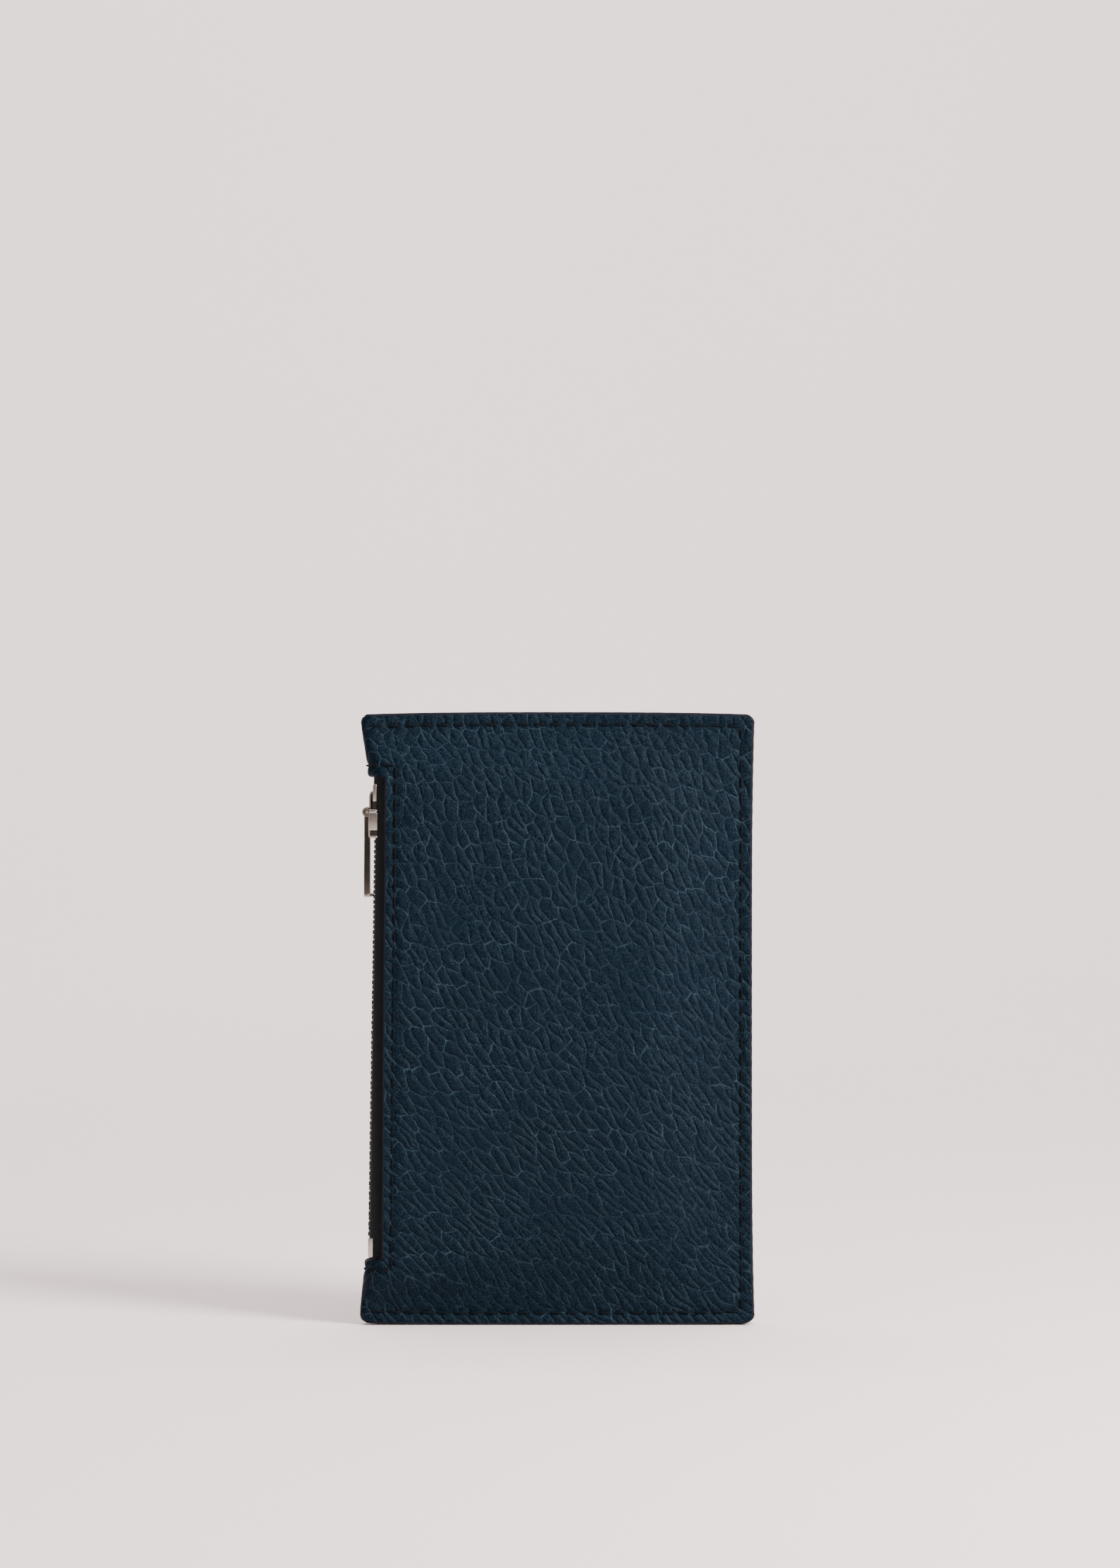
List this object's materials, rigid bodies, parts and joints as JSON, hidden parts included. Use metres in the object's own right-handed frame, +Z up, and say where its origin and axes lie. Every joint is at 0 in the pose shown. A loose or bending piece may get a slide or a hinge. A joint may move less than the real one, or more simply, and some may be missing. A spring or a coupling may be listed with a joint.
{
  "type": "zip card holder",
  "caption": "Slim leather card holder: one sheet folded round a zipped pocket, stitched on its cut sides, with stepped card slots on the back.",
  "frame": {"origin": "middle of the base that it stands on, under the middle of its box", "axes": "+Z up the long side, -X towards the fold and its zip, -Y out of the plain front, +Y out of the card slots"},
  "size_m": [0.0806, 0.0118, 0.125],
  "materials": {
    "leather": "pebbled grain, semi-matte",
    "lining": "woven",
    "stiffener_board": "matte bonded board",
    "zip_tape": "woven",
    "zip_teeth": "black, satin",
    "nickel": "polished",
    "spring_steel": "satin",
    "thread": "waxed"
  },
  "bodies": {
    "holder": {"outer_leather": "leather", "front_stiffener": "stiffener_board", "back_stiffener": "stiffener_board", "lining_front": "lining", "lining_back": "lining", "card_slot_panel_1": "leather", "card_slot_panel_2": "leather", "card_slot_panel_3": "leather", "zip_tape_front": "zip_tape", "zip_tape_back": "zip_tape", "zip_teeth_front": "zip_teeth", "zip_teeth_back": "zip_teeth", "zip_top_stop_front": "nickel", "zip_top_stop_back": "nickel", "zip_bottom_stop": "nickel", "perimeter_thread_front": "thread", "perimeter_thread_back": "thread", "slot_thread": "thread"},
    "slider": {"slider_body": "nickel", "slider_crown": "nickel", "slider_lock_spring": "spring_steel", "puller_pin": "nickel"},
    "puller": {"puller": "nickel"}
  },
  "joints": [
    {"name": "slider_travel", "type": "slide", "parent": "holder", "child": "slider", "axis": [0.0155, 0, 0.9999], "range_m": [-0.073, 0], "deforming": ["zip_teeth_front", "zip_teeth_back", "zip_tape_front", "zip_tape_back"]},
    {"name": "puller_swing", "type": "hinge", "parent": "slider", "child": "puller", "pos_m": [-0.0388, -0.00084, 0.10454], "axis": [0, 1, 0], "range_deg": [0, 130]}
  ]
}
